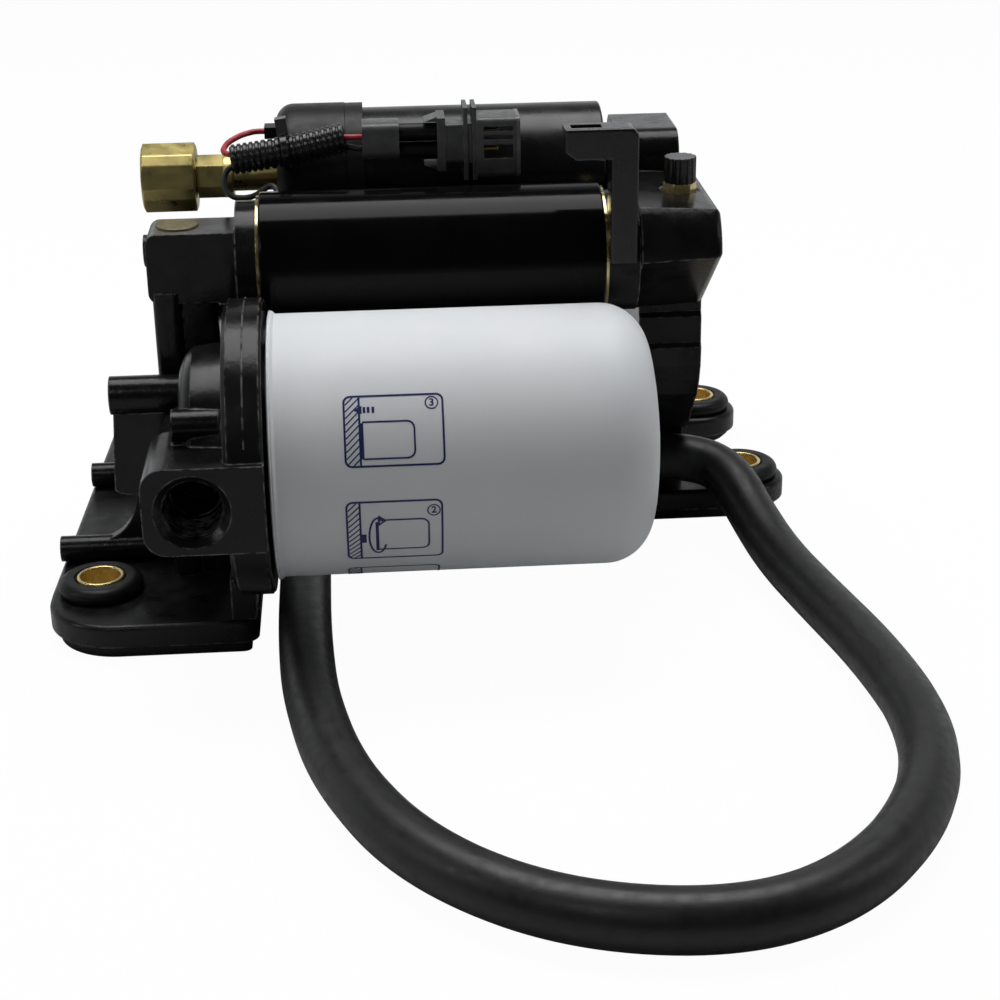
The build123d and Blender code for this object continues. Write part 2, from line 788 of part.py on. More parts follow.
with BuildPart() as boot_band:
    with BuildSketch(across(boot_right, back_y, back_z)):
        Circle(back_r + 2.0)
        Circle(back_r + fit, mode=Mode.SUBTRACT)
    extrude(amount=7.0)
save(boot_band.part, "boot_band")

# Brass outlet: tube, collar, hexagon neck and a nose that holds the swivel nut
neck_left = -90.0
neck_right = -79.5
collar_right = -76.0
nose_r = thread_r - 0.4
nose_left = -100.0
nose_right = -94.6
with BuildPart() as outlet_tube:
    with BuildSketch(across(back_left, back_y, back_z)):
        Circle(tube_r)
    extrude(amount=nose_left - back_left)
    with BuildSketch(across(neck_right, back_y, back_z)):
        Circle(neck_flats / 2 + 1.2)
    extrude(amount=collar_right - neck_right)
    with BuildSketch(across(neck_left, back_y, back_z)):
        RegularPolygon(neck_flats / 2, 6, major_radius=False, rotation=hex_turn)
    extrude(amount=neck_right - neck_left)
    with BuildSketch(across(nose_left, back_y, back_z)):
        Circle(nose_r)
    extrude(amount=nose_right - nose_left)
    chamfer(outlet_tube.faces().sort_by(Axis.X)[0].edges(), 2.5)
    with BuildSketch(across(nose_left, back_y, back_z)):
        Circle(outlet_pipe_r + fit)
    extrude(amount=back_left - nose_left, mode=Mode.SUBTRACT)
save(outlet_tube.part, "outlet_tube")

with BuildPart() as outlet_nut:
    with BuildSketch(across(nut_left, back_y, back_z)):
        RegularPolygon(nut_flats / 2, 6, major_radius=False, rotation=hex_turn)
        RegularPolygon(
            nut_corners / 2,
            6,
            major_radius=False,
            rotation=hex_turn + 30.0,
            mode=Mode.INTERSECT,
        )
    extrude(amount=nut_right - nut_left)
    with BuildSketch(facing(back_y, 0, back_z)):
        with BuildLine():
            Polyline(
                (nut_left, 0),
                (nut_left, nut_flats / 2 - 0.4),
                (nut_left + 1.2, nut_flats / 2 + 2.0),
                (nut_right - 1.2, nut_flats / 2 + 2.0),
                (nut_right, nut_flats / 2 - 0.4),
                (nut_right, 0),
                close=True,
            )
        make_face()
    revolve(axis=axis_x(back_y, back_z), mode=Mode.INTERSECT)
    with BuildSketch(across(nut_right, back_y, back_z)):
        Circle(tube_r + fit)
    extrude(amount=nut_left - nut_right, mode=Mode.SUBTRACT)
    with BuildSketch(across(nut_left, back_y, back_z)):
        Circle(thread_r)
    extrude(amount=thread_l, mode=Mode.SUBTRACT)
    with BuildSketch(across(nut_left + thread_l, back_y, back_z)):
        Circle(thread_r + 0.6)
    extrude(amount=nose_right + seat - nut_left - thread_l, mode=Mode.SUBTRACT)
save(outlet_nut.part, "outlet_nut")

# Service valve on the right housing: brass body, sprung pin, sealing washer and screw cap
valve_seat = 9.0
valve_thread_r = 4.6
hex_top = valve_foot + 3.8
core_r = 2.4
with BuildPart() as valve_body:
    with BuildSketch(Plane.XY.offset(valve_foot - valve_seat)):
        with Locations((valve_x, valve_y)):
            Circle(valve_thread_r - fit)
    extrude(amount=valve_seat)
    with BuildSketch(Plane.XY.offset(valve_foot)):
        with Locations((valve_x, valve_y)):
            RegularPolygon(5.5, 6, major_radius=False)
    extrude(amount=hex_top - valve_foot)
    with BuildSketch(Plane.XY.offset(hex_top)):
        with Locations((valve_x, valve_y)):
            Circle(stem_r)
    extrude(amount=stem_top - hex_top)
    with BuildSketch(Plane.XY.offset(stem_top)):
        with Locations((valve_x, valve_y)):
            Circle(core_r)
    extrude(amount=hex_top - stem_top, mode=Mode.SUBTRACT)
    with BuildSketch(Plane.XY.offset(stem_top)):
        with Locations((valve_x, valve_y)):
            Circle(pin_r + fit)
    extrude(amount=valve_foot - valve_seat - stem_top, mode=Mode.SUBTRACT)
save(valve_body.part, "valve_body")

pin_top = stem_top - 0.7
pin_foot = valve_foot - valve_seat + pin_travel + 0.4
with BuildPart() as valve_pin:
    with BuildSketch(Plane.XY.offset(pin_foot)):
        with Locations((valve_x, valve_y)):
            Circle(pin_r)
    extrude(amount=pin_top - pin_foot)
    fillet(valve_pin.edges().sort_by(Axis.Z)[-1], 0.4)
save(valve_pin.part, "valve_pin")

seal_t = 0.9
with BuildPart() as valve_seal:
    with BuildSketch(Plane.XY.offset(stem_top)):
        with Locations((valve_x, valve_y)):
            Circle(stem_r - 0.2)
            Circle(core_r - 0.6, mode=Mode.SUBTRACT)
    extrude(amount=seal_t)
save(valve_seal.part, "valve_seal")

with BuildPart() as valve_cap:
    with BuildSketch(Plane.XY.offset(hex_top + 0.2)):
        with Locations((valve_x, valve_y)):
            Circle(cap_r)
            with PolarLocations(cap_r + 0.3, 14):
                Circle(0.8, mode=Mode.SUBTRACT)
    extrude(amount=cap_top - hex_top - 0.2)
    with BuildSketch(Plane.XY.offset(stem_top + seal_t)):
        with Locations((valve_x, valve_y)):
            Circle(stem_r + fit)
    extrude(amount=hex_top - stem_top - seal_t, mode=Mode.SUBTRACT)
save(valve_cap.part, "valve_cap")


def soft_radii(points):
    """One radius for each inner point of a route: as large as the two runs beside it allow."""
    radii = []
    for before, here, after in zip(points, points[1:], points[2:]):
        run_in = Vector(here) - Vector(before)
        run_out = Vector(after) - Vector(here)
        turn = math.radians(run_in.get_angle(run_out))
        radii.append(0.45 * min(run_in.length, run_out.length) / math.tan(turn / 2))
    return radii


# Cooling hose: from the boss at the left, on the surface round the front, to the tower at the right
hose_route = [
    (stub_left_x, stub_left_y, stub_left_z),
    (stub_left_x, -52.5, stub_left_z),
    (-53.0, -100.0, hose_lie),
    (-50.0, -149.5, hose_lie),
    (-40.0, -200.5, hose_lie),
    (-17.5, -248.0, hose_lie),
    (21.5, -281.5, hose_lie),
    (72.5, -291.0, hose_lie),
    (111.5, -273.0, hose_lie),
    (142.0, -231.0, hose_lie),
    (153.0, -185.5, hose_lie),
    (149.0, -134.5, hose_lie),
    (138.5, -84.0, hose_lie),
    (131.0, -49.0, 11.0),
    (125.5, -21.5, 17.0),
    (121.8, -4.0, 23.3),
    (116.0, 10.0, 26.6),
    (103.5, 16.5, 28.2),
    (86.5, 18.6, stub_right_z),
    (66.0, stub_right_y, stub_right_z),
    (stub_right_x, stub_right_y, stub_right_z),
]
hose_radii = soft_radii(hose_route)
print("hose radii", [round(r) for r in hose_radii])
with BuildPart() as hose:
    with BuildLine() as hose_path:
        FilletPolyline(*hose_route, radius=hose_radii)
    with BuildSketch(facing(stub_left_y, stub_left_x, stub_left_z)):
        Circle(hose_r)
        Circle(hose_bore_r, mode=Mode.SUBTRACT)
    sweep(path=hose_path.wires()[0])
hose_length = hose_path.wires()[0].length
hose_section = math.pi * (hose_r**2 - hose_bore_r**2)
print("hose length", round(hose_length, 1), "mm, volume", round(hose.part.volume))
print("section times length", round(hose_section * hose_length))
save(hose.part, "hose")

# Stubs inside the hose's ends and the clamps round them
stubs = [
    ("left", facing(stub_left_y, stub_left_x, stub_left_z)),
    ("right", across(stub_right_x, stub_right_y, stub_right_z)),
]
for name, place in stubs:
    with BuildPart() as stub:
        with BuildSketch(place):
            Circle(hose_bore_r - fit)
            Circle(hose_bore_r - fit - stub_wall, mode=Mode.SUBTRACT)
        extrude(amount=stub_in)
        with BuildSketch(place):
            Circle(hose_bore_r - fit)
            Circle(hose_bore_r - fit - stub_wall, mode=Mode.SUBTRACT)
        extrude(amount=-stub_seat)
    save(stub.part, f"hose_stub_{name}")
    with BuildPart() as clamp:
        with BuildSketch(place.offset(3.0)):
            Circle(hose_r + fit + clamp_t)
            with Locations((hose_r + 1.5, 0)):
                Rectangle(4.0, 3.0)
            Circle(hose_r + fit, mode=Mode.SUBTRACT)
        extrude(amount=clamp_w)
    save(clamp.part, f"hose_clamp_{name}")

# Wiring: split conduit tied to the boot, with a red and a black wire through it
conduit_route = [(-74.6, -1.1, 162.8), (-52.5, -1.1, 165.7), (-31.5, -1.8, 170.4)]
conduit_start = Plane(origin=conduit_route[0], z_dir=Vector(conduit_route[1]) - Vector(conduit_route[0]))
with BuildPart() as conduit:
    with BuildLine() as conduit_path:
        FilletPolyline(*conduit_route, radius=soft_radii(conduit_route))
    with BuildSketch(conduit_start):
        Circle(conduit_r)
        Circle(conduit_r - conduit_wall, mode=Mode.SUBTRACT)
    sweep(path=conduit_path.wires()[0])
save(conduit.part, "conduit")

red_route = [
    (cover_left, plug_y, plug_z + wire_gap),
    (-29.0, plug_y, plug_z + wire_gap),
    (-38.5, -1.7, 170.6),
    (-56.0, -1.2, 167.2),
    (-69.0, -1.1, 165.4),
    (-75.8, -0.8, 164.8),
    (-78.0, 3.0, 165.4),
    (-76.5, 9.5, 167.0),
    (-71.5, 16.0, 168.4),
    (-66.5, 20.0, 168.8),
    (tab_left, 20.0, 168.8),
]
black_route = [
    (cover_left, plug_y, plug_z - wire_gap),
    (-27.0, plug_y, plug_z - wire_gap),
    (-33.5, -2.0, 167.7),
    (-40.0, -1.6, 167.2),
    (-56.0, -1.2, 163.4),
    (-69.0, -1.1, 161.6),
    (-76.2, -1.6, 160.0),
    (-78.2, -4.0, 155.0),
    (-75.5, -6.5, 149.8),
    (-67.5, -7.0, 149.4),
    (-59.0, -8.6, 155.5),
    (-57.0, -13.0, 151.1),
]
for name, route in (("wire_red", red_route), ("wire_black", black_route)):
    with BuildPart() as wire:
        with BuildLine() as wire_path:
            FilletPolyline(*route, radius=soft_radii(route))
        with BuildSketch(Plane(origin=route[0], z_dir=Vector(route[1]) - Vector(route[0]))):
            Circle(wire_r)
        sweep(path=wire_path.wires()[0])
    save(wire.part, name)

tie_x = -54.0
tie_gap = 0.25
tie_slope = (conduit_route[1][2] - conduit_route[0][2]) / (conduit_route[1][0] - conduit_route[0][0])
tie_z = conduit_route[0][2] + (tie_x - conduit_route[0][0]) * tie_slope
tie_place = Plane(origin=(tie_x, -1.1, tie_z), x_dir=(0, 1, 0), z_dir=(1, 0, tie_slope))
with BuildPart() as cable_tie:
    with BuildSketch(tie_place):
        Circle(conduit_r + tie_gap + 0.9)
        Circle(conduit_r + tie_gap, mode=Mode.SUBTRACT)
    extrude(amount=1.2, both=True)
    with BuildSketch(tie_place):
        with Locations((1.6, conduit_r + tie_gap + 3.4)):
            Rectangle(4.6, 6.4)
    extrude(amount=2.1, both=True)
save(cable_tie.part, "cable_tie")

# Connector between the pumps: cover, wire seals, body with a gusseted flange, and the open shell
with BuildPart() as connector_cover:
    with BuildSketch(across(cover_left, plug_y, plug_z + cover_lift)):
        RectangleRounded(14.0, 13.6, 3.0)
    extrude(amount=seals_left - cover_left)
save(connector_cover.part, "connector_cover")

seal_pitch = 7.0
body_left = 3.0
with BuildPart() as connector_seals:
    with BuildSketch(across(seals_left, plug_y, plug_z)):
        with Locations((0, seal_pitch / 2), (0, -seal_pitch / 2)):
            Circle(3.4)
    extrude(amount=body_left - seals_left)
save(connector_seals.part, "connector_seals")

plate_deep = 15.2
plate_high = 27.4
plate_w = 1.6
plate_gap = 1.7       # between the body's plate and the shell's
shell_left = 14.4
shell_right = 34.0
shell_high = 22.4
shell_drop = 1.5      # the shell's middle lies this much lower than the plates'
shell_deep = 17.0
shell_wall = 1.8
shell_face = shell_left + plate_gap + plate_w
with BuildPart() as connector_body:
    with BuildSketch(across(body_left, plug_y, plug_z)):
        Rectangle(15.0, 20.0)
    extrude(amount=3.0)
    with BuildSketch(across(body_left + 3.0, plug_y, plug_z)):
        RectangleRounded(13.0, 15.0, 1.5)
    extrude(amount=shell_left - body_left - 3.0)
    with BuildSketch(across(shell_left - plate_w, plug_y, plug_z)):
        Rectangle(plate_deep, plate_high)
    extrude(amount=plate_w)
    with BuildSketch(facing(plug_y + 5.0, 0, plug_z)):
        for side in (1, -1):
            with BuildLine():
                Polyline(
                    (body_left, side * 10.0),
                    (body_left - 5.0, side * 8.2),
                    (body_left, side * 8.2),
                    close=True,
                )
            make_face()
    extrude(amount=10.0)
save(connector_body.part, "connector_body")

with BuildPart() as connector_shell:
    with BuildSketch(across(shell_left, plug_y, plug_z)):
        Rectangle(13.0, 15.0)
    extrude(amount=plate_gap)
    with BuildSketch(across(shell_left + plate_gap, plug_y, plug_z)):
        Rectangle(plate_deep, plate_high)
    extrude(amount=plate_w)
    with BuildSketch(across(shell_face, plug_y, plug_z - shell_drop)):
        RectangleRounded(shell_deep, shell_high, 2.0)
    extrude(amount=shell_right - shell_face)
    with BuildSketch(across(shell_right, plug_y, plug_z - shell_drop)):
        RectangleRounded(shell_deep - 2 * shell_wall, shell_high - 2 * shell_wall, 1.0)
    extrude(amount=shell_face + 1.0 - shell_right, mode=Mode.SUBTRACT)
    # two narrow windows and a large one in the front wall
    window_mid = (shell_face + shell_right) / 2
    with BuildSketch(facing(plug_y - shell_deep / 2, window_mid, plug_z - shell_drop)):
        with Locations((0, 7.2), (0, 4.0)):
            Rectangle(11.0, 1.6)
        with Locations((0, -1.4)):
            Rectangle(11.0, 5.2)
    extrude(amount=-shell_wall, mode=Mode.SUBTRACT)
save(connector_shell.part, "connector_shell")

with BuildPart() as connector_pins:
    with BuildSketch(across(shell_face + 1.0, plug_y, plug_z)):
        with Locations((0, seal_pitch / 2), (0, -seal_pitch / 2)):
            Circle(1.0)
    extrude(amount=7.5)
save(connector_pins.part, "connector_pins")

# Bracket of black plastic on the front pump's right collar
bracket_front = -56.5
bracket_back = -45.5
bracket_left = 46.4
bracket_leg_left = front_right + ring_t + 0.1
bracket_right = block_left - 1.8
bracket_top = 182.9
bracket_arm_foot = bracket_top - 11.4
bracket_foot = front_z + 1.9
with BuildPart() as wiring_bracket:
    with BuildSketch(facing(bracket_back)):
        with BuildLine():
            Polyline(
                (bracket_left, bracket_arm_foot + 3.0),
                (bracket_left, bracket_top),
                (bracket_right, bracket_top),
                (bracket_right, bracket_foot),
                (bracket_leg_left, bracket_foot),
                (bracket_leg_left, bracket_arm_foot),
                (bracket_left + 4.0, bracket_arm_foot),
                close=True,
            )
        make_face()
    extrude(amount=bracket_back - bracket_front)
    corners = wiring_bracket.edges().filter_by(Axis.Y)
    fillet(corners.sort_by_distance((bracket_right, bracket_front, bracket_top))[0], 3.5)
    fillet(wiring_bracket.faces().sort_by(Axis.Y)[0].edges(), 1.0)
    with BuildSketch(Plane.XY.offset(bracket_top)):
        with Locations((54.3, (bracket_front + bracket_back) / 2)):
            Rectangle(11.0, 5.5)
    extrude(amount=-8.0, mode=Mode.SUBTRACT)
    with BuildSketch(across(bracket_leg_left - 0.1, front_y, front_z)):
        Circle(collar_r + seat)
    extrude(amount=bracket_right - bracket_leg_left + 1.0, mode=Mode.SUBTRACT)
save(wiring_bracket.part, "wiring_bracket")
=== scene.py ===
# %% [markdown]
# # A boat engine's fuel pump module, dressed in Blender
# Two electric pumps in steel cans lie between two black castings. A white spin-on filter hangs in
# front of them and a cooling hose makes a loose loop round the front. The solids arrive as a
# fixed frame with every body in place, so nothing here is moved: this script only adds what a
# maker would see, such as finishes, print, ribs and threads.

# %% Load the frame
import bpy
import bmesh
import json
import math
from mathutils import Matrix, Vector


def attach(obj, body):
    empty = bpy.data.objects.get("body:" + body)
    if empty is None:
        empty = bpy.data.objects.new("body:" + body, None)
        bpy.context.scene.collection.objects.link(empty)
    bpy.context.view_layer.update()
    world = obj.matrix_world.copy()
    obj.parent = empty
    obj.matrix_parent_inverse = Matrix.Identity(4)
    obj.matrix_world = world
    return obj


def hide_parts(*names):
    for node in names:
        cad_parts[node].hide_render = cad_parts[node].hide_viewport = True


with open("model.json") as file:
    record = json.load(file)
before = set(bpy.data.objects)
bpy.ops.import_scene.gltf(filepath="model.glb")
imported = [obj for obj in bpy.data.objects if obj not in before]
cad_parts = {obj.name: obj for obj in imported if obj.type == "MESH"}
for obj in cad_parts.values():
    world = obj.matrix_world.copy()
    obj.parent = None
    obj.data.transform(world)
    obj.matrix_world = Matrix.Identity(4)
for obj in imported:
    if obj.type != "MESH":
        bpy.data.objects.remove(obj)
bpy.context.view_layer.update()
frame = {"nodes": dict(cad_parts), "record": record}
MM = 0.001

# %% [markdown]
# ## The camera
# The photograph was taken from above the front of the part. The camera's place was worked out
# from the circles and straight edges that it shows, with the filter taken as 94 mm across, so it
# is put there as numbers. A lens of 73 mm on a 36 mm sensor gives the same spread of view.

# %% Camera
photo_camera = bpy.data.cameras.new("photo_camera")
photo_camera.lens = 72.95
photo_camera.sensor_width = 36.0
photo_camera.clip_start = 0.05
camera = bpy.data.objects.new("photo_camera", photo_camera)
bpy.context.scene.collection.objects.link(camera)
yaw, pitch, roll = math.radians(3.845), math.radians(22.84), math.radians(0.797)
camera.matrix_world = (
    Matrix.Translation(Vector((-25.882, -761.112, 340.132)) * MM)
    @ Matrix.Rotation(-yaw, 4, "Z")
    @ Matrix.Rotation(math.pi / 2 - pitch, 4, "X")
    @ Matrix.Rotation(-roll, 4, "Z")
)
bpy.context.scene.camera = camera
print("camera looks along", tuple(round(v, 3) for v in camera.matrix_world.col[2][:3]))

# %% [markdown]
# ## The cooling hose
# The hose is one length of thick rubber tube that leaves the base at the left, lies on the bench
# in a wide loop and comes back into the base at the right. It could be a mesh pushed about by
# hand, but a smooth curve with a round section keeps its thickness everywhere. The points are
# where the hose goes, in millimetres, and the curve rounds itself between them.

# %% Hose
HOSE_R = 9.75 * MM
hose_route = [
    (-53.5, -8, 11.3), (-53.5, -52.5, 11.3), (-53, -100, 10), (-50, -149.5, 10), (-40, -200.5, 10),
    (-17.5, -248, 10), (21.5, -281.5, 10), (72.5, -291, 10), (111.5, -273, 10), (142, -231, 10),
    (153, -185.5, 10), (149, -134.5, 10), (138.5, -84, 10), (131, -49, 11), (125.5, -21.5, 17),
    (121.8, -4, 23.3), (116, 10, 26.6), (103.5, 16.5, 28.2), (86.5, 18.6, 28.5), (66, 19, 28.5),
    (46, 19, 28.5),
]
hose_curve = bpy.data.curves.new("cooling_hose", "CURVE")
hose_curve.dimensions = "3D"
hose_line = hose_curve.splines.new("NURBS")
hose_line.points.add(len(hose_route) - 1)
for point, place in zip(hose_line.points, hose_route):
    point.co = (*(Vector(place) * MM), 1.0)
    point.radius = HOSE_R
hose_line.order_u = 3
hose_line.use_endpoint_u = True
hose_line.resolution_u = 12
hose_curve.bevel_depth = 1.0  # times each point's radius, so the curve's own box fits the hose
hose_curve.bevel_resolution = 7
hose_curve.use_fill_caps = True
hose = bpy.data.objects.new("cooling_hose", hose_curve)
bpy.context.scene.collection.objects.link(hose)
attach(hose, "module")
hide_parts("hose")
print("hose with", len(hose_route), "points")

# %% [markdown]
# ## Small helpers for materials
# A material is a small net of nodes. Every net here is tied with the same few knots: add a node,
# join two sockets, spread a grey pattern between two values, mix two colours, and make a soft
# noise. Each could be written out in place, but the finishes below would then be far longer.

# %% Helpers for node nets
def link(tree, a, b):
    """Join one output socket to one input socket."""
    tree.links.new(a, b)


def put(tree, kind, **settings):
    """Add a node and set its properties."""
    item = tree.nodes.new(kind)
    for name, value in settings.items():
        setattr(item, name, value)
    return item


def ramp(tree, source, low, high, from_low=0.35, from_high=0.65):
    """Spread a grey pattern between two values."""
    spread = put(tree, "ShaderNodeMapRange")
    spread.inputs["From Min"].default_value = from_low
    spread.inputs["From Max"].default_value = from_high
    spread.inputs["To Min"].default_value = low
    spread.inputs["To Max"].default_value = high
    link(tree, source, spread.inputs["Value"])
    return spread.outputs["Result"]


def mix_colour(tree, factor, a, b):
    """A colour between a and b; each is a colour or a socket."""
    mixer = put(tree, "ShaderNodeMix", data_type="RGBA")
    link(tree, factor, mixer.inputs["Factor"])
    for socket, value in ((mixer.inputs[6], a), (mixer.inputs[7], b)):
        if isinstance(value, tuple):
            socket.default_value = (*value, 1.0)
        else:
            link(tree, value, socket)
    return mixer.outputs[2]


def noise(tree, place, scale, detail=2.0, roughness=0.5):
    """A soft grey pattern of one scale at a place."""
    cloud = put(tree, "ShaderNodeTexNoise")
    cloud.inputs["Scale"].default_value = scale
    cloud.inputs["Detail"].default_value = detail
    cloud.inputs["Roughness"].default_value = roughness
    link(tree, place, cloud.inputs["Vector"])
    return cloud.outputs[0]


print("helpers:", [f.__name__ for f in (link, put, ramp, mix_colour, noise)])

# %% [markdown]
# ## The bench and the light
# The part stands on a white bench that fades into a white room. The bench is mostly a plain white
# that the camera sees as it is, mixed with a little real white paint, so that the soft shadow
# under the part stays. For every other ray the bench is a middle grey: the black paint would look
# washed out if it mirrored a white bench. One wide lamp hangs above and a little behind the part,
# and three narrow ones draw thin bright lines on rounded edges. The room itself is bright near
# the horizon at the back and sides and dark above and behind the camera, as round a table with a
# white sweep: that is what draws the pale lines along the tops and sides of glossy black pieces
# and leaves their fronts black.

# %% Bench
BENCH_HALF = 6.0
BENCH_DROP = 0.4 * MM
CAMERA_WHITE_SHARE = 0.97
bench_mesh = bpy.data.meshes.new("bench")
work = bmesh.new()
bmesh.ops.create_grid(work, x_segments=4, y_segments=4, size=BENCH_HALF)
bmesh.ops.translate(work, verts=work.verts, vec=(0, 0, -BENCH_DROP))
work.to_mesh(bench_mesh)
work.free()
bench = bpy.data.objects.new("bench", bench_mesh)
bpy.context.scene.collection.objects.link(bench)

bench_paint = bpy.data.materials.new("bench_white")
bench_paint.use_nodes = True
tree = bench_paint.node_tree
tree.nodes.clear()
seen_by_camera = put(tree, "ShaderNodeLightPath").outputs["Is Camera Ray"]
share = put(tree, "ShaderNodeMath", operation="MULTIPLY")
share.inputs[1].default_value = CAMERA_WHITE_SHARE
link(tree, seen_by_camera, share.inputs[0])
paint = put(tree, "ShaderNodeBsdfDiffuse")
shade = mix_colour(tree, seen_by_camera, (0.55, 0.55, 0.55), (0.95, 0.95, 0.95))
link(tree, shade, paint.inputs["Color"])
glow = put(tree, "ShaderNodeEmission")
glow.inputs["Strength"].default_value = 1.0
blend = put(tree, "ShaderNodeMixShader")
link(tree, share.outputs[0], blend.inputs[0])
link(tree, paint.outputs[0], blend.inputs[1])
link(tree, glow.outputs[0], blend.inputs[2])
link(tree, blend.outputs[0], put(tree, "ShaderNodeOutputMaterial").inputs["Surface"])
bench_mesh.materials.append(bench_paint)
print("bench", round(bench.dimensions.x, 2), "m wide")

# %% Room
DARKEST = 0.02
room = bpy.data.worlds.new("room")
bpy.context.scene.world = room
room.use_nodes = True
tree = room.node_tree
tree.nodes.clear()
way = put(tree, "ShaderNodeSeparateXYZ")
link(tree, put(tree, "ShaderNodeTexCoord").outputs["Generated"], way.inputs[0])
near_horizon = ramp(tree, way.outputs["Z"], 1.0, 0.0, from_low=0.15, from_high=0.7)
at_the_back = ramp(tree, way.outputs["Y"], 0.03, 0.8, from_low=-0.5, from_high=0.8)
sweep = put(tree, "ShaderNodeMath", operation="MULTIPLY_ADD")
sweep.inputs[2].default_value = DARKEST
link(tree, near_horizon, sweep.inputs[0])
link(tree, at_the_back, sweep.inputs[1])
daylight = put(tree, "ShaderNodeBackground")
daylight.inputs["Color"].default_value = (0.96, 0.98, 1.0, 1)
link(tree, sweep.outputs[0], daylight.inputs["Strength"])
backdrop = put(tree, "ShaderNodeBackground")
backdrop.inputs["Color"].default_value = (1, 1, 1, 1)
backdrop.inputs["Strength"].default_value = 1.0
blend = put(tree, "ShaderNodeMixShader")
link(tree, put(tree, "ShaderNodeLightPath").outputs["Is Camera Ray"], blend.inputs[0])
link(tree, daylight.outputs[0], blend.inputs[1])
link(tree, backdrop.outputs[0], blend.inputs[2])
link(tree, blend.outputs[0], put(tree, "ShaderNodeOutputWorld").inputs["Surface"])
print("room with", len(tree.nodes), "nodes")


# %% Lamps
def soft_lamp(name, place, aim, width, height, power):
    """A rectangular soft box at a place, turned towards a point."""
    data = bpy.data.lights.new(name, "AREA")
    data.shape = "RECTANGLE"
    data.size, data.size_y = width, height
    data.energy = power
    lamp = bpy.data.objects.new(name, data)
    turn = (Vector(aim) - Vector(place)).to_track_quat("-Z", "Y")
    lamp.matrix_world = Matrix.LocRotScale(Vector(place), turn, None)
    bpy.context.scene.collection.objects.link(lamp)


PART_MIDDLE = (0, 0, 0.08)
soft_lamp("lamp_top", (0.0, 0.25, 1.3), (0, -0.04, 0.08), 1.3, 0.8, 17.0)
soft_lamp("lamp_front", (-0.45, -1.0, 0.95), PART_MIDDLE, 0.14, 0.2, 1.0)
soft_lamp("lamp_left", (-1.0, -0.3, 0.6), PART_MIDDLE, 0.12, 0.4, 1.0)
soft_lamp("lamp_right", (1.05, -0.3, 0.6), PART_MIDDLE, 0.12, 0.4, 1.0)
bpy.context.scene.view_settings.view_transform = "Standard"

# %% [markdown]
# ## A recipe for every finish
# Nearly all finishes share the same build: a base colour that wanders a little between two
# shades, a roughness that wanders too, a fine grain as bump, and edges that catch the light
# because they are slightly rounded. On some finishes the edges are also painted a paler colour,
# broken into patches: partly worn paint and partly a painted highlight. Each finish could be wired
# by hand, but one recipe with named amounts keeps them honest and makes the differences easy to
# read. Patterns follow Object coordinates, which are metres here, so a scale of 500 makes spots of
# about two millimetres.

# %% The shared recipe
finishes = {}
CHIP_AND_GLINT_SCALE = 260
WEAR_TO_MOTTLE = 2.3


def finish(name, dark, light, rough, mottle, grain, grain_height,
           metal=0.0, edge=0.5, edge_wear_and_highlight_colour=None, specular=0.5):
    """A finish by the shared recipe: two shades, roughness, scales of mottle and grain.

    Scales are per metre; the grain's height and the rounding of the edges are in millimetres.
    """
    material = bpy.data.materials.new(name)
    material.use_nodes = True
    tree = material.node_tree
    tree.nodes.clear()
    shader = put(tree, "ShaderNodeBsdfPrincipled")
    shader.inputs["Metallic"].default_value = metal
    shader.inputs["Specular IOR Level"].default_value = specular
    place = put(tree, "ShaderNodeTexCoord").outputs["Object"]
    cloud = noise(tree, place, mottle, 4.0)
    colour = mix_colour(tree, ramp(tree, cloud, 0.0, 1.0), dark, light)
    wear = noise(tree, place, mottle * WEAR_TO_MOTTLE, 3.0)
    link(tree, ramp(tree, wear, *rough), shader.inputs["Roughness"])
    rounded = put(tree, "ShaderNodeBevel", samples=4)
    rounded.inputs["Radius"].default_value = edge * MM
    bump = put(tree, "ShaderNodeBump")
    bump.inputs["Strength"].default_value = 1.0
    bump.inputs["Distance"].default_value = grain_height * MM
    link(tree, noise(tree, place, grain, 2.0, 0.6), bump.inputs["Height"])
    link(tree, rounded.outputs[0], bump.inputs["Normal"])
    link(tree, bump.outputs[0], shader.inputs["Normal"])
    # A paler colour on the rounded edges, broken into patches: partly worn paint, partly a painted
    # highlight that stands in for glints.
    if edge_wear_and_highlight_colour:
        true_face = put(tree, "ShaderNodeNewGeometry")
        turned = put(tree, "ShaderNodeVectorMath", operation="DOT_PRODUCT")
        link(tree, true_face.outputs["Normal"], turned.inputs[0])
        link(tree, rounded.outputs[0], turned.inputs[1])
        rim = ramp(tree, turned.outputs["Value"], 1.0, 0.0, from_low=0.8, from_high=0.97)
        cloud = noise(tree, place, CHIP_AND_GLINT_SCALE, 3.0)
        chips_and_glints = ramp(tree, cloud, 0.0, 1.0, from_low=0.38, from_high=0.65)
        wear_and_highlight = put(tree, "ShaderNodeMath", operation="MULTIPLY")
        link(tree, rim, wear_and_highlight.inputs[0])
        link(tree, chips_and_glints, wear_and_highlight.inputs[1])
        colour = mix_colour(tree, wear_and_highlight.outputs[0], colour, edge_wear_and_highlight_colour)
    link(tree, colour, shader.inputs["Base Color"])
    link(tree, shader.outputs[0], put(tree, "ShaderNodeOutputMaterial").inputs["Surface"])
    finishes[name] = material


print("the recipe is ready; chips have a scale of", CHIP_AND_GLINT_SCALE)
